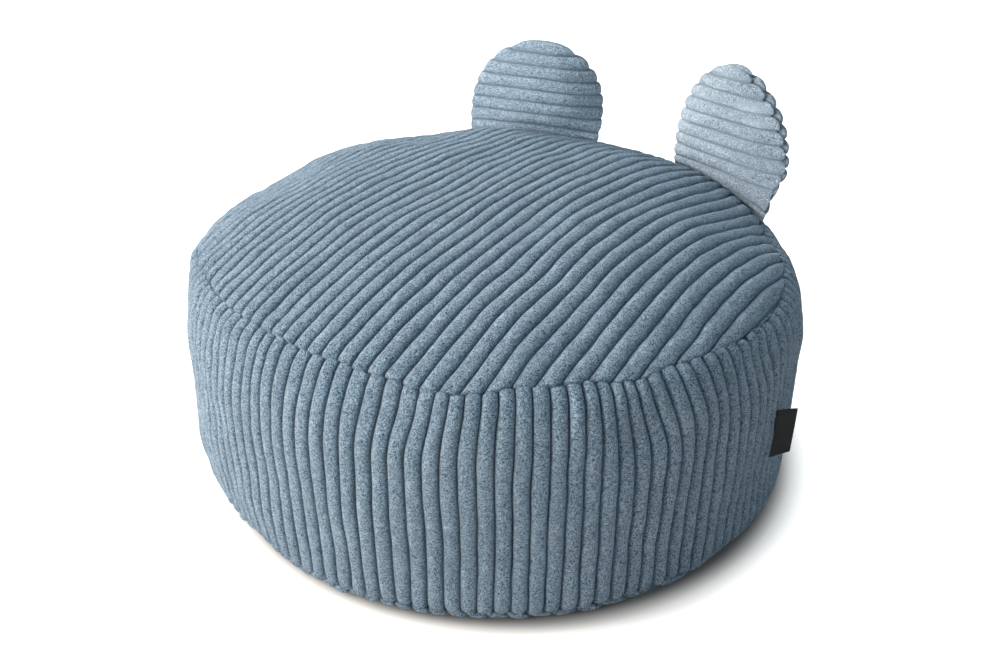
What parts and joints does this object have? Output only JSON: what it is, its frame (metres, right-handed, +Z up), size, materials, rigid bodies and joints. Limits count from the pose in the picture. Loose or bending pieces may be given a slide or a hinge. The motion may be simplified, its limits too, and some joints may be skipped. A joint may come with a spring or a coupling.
{
  "type": "bean bag footstool",
  "caption": "Round low pouf of wide-rib corduroy with a crowned top, upright side ribs and two rounded ears standing at the back of the top seam.",
  "frame": {"origin": "centre of the flat base, on the floor", "axes": "+Z up; -Y the front; +Y the back, where the ears stand; +X the side with the label; the top's ribs run along Y"},
  "size_m": [0.5345, 0.52, 0.3038],
  "materials": {
    "corduroy": "dusty blue plush corduroy, wide soft ribs with a short speckled pile",
    "woven_tape": "black woven tape, plain"
  },
  "bodies": {
    "root": {"top_panel": "corduroy", "side_band": "corduroy", "base_panel": "corduroy", "left_ear_outer": "corduroy", "left_ear_inner": "corduroy", "right_ear_outer": "corduroy", "right_ear_inner": "corduroy", "label": "woven_tape"}
  },
  "joints": []
}
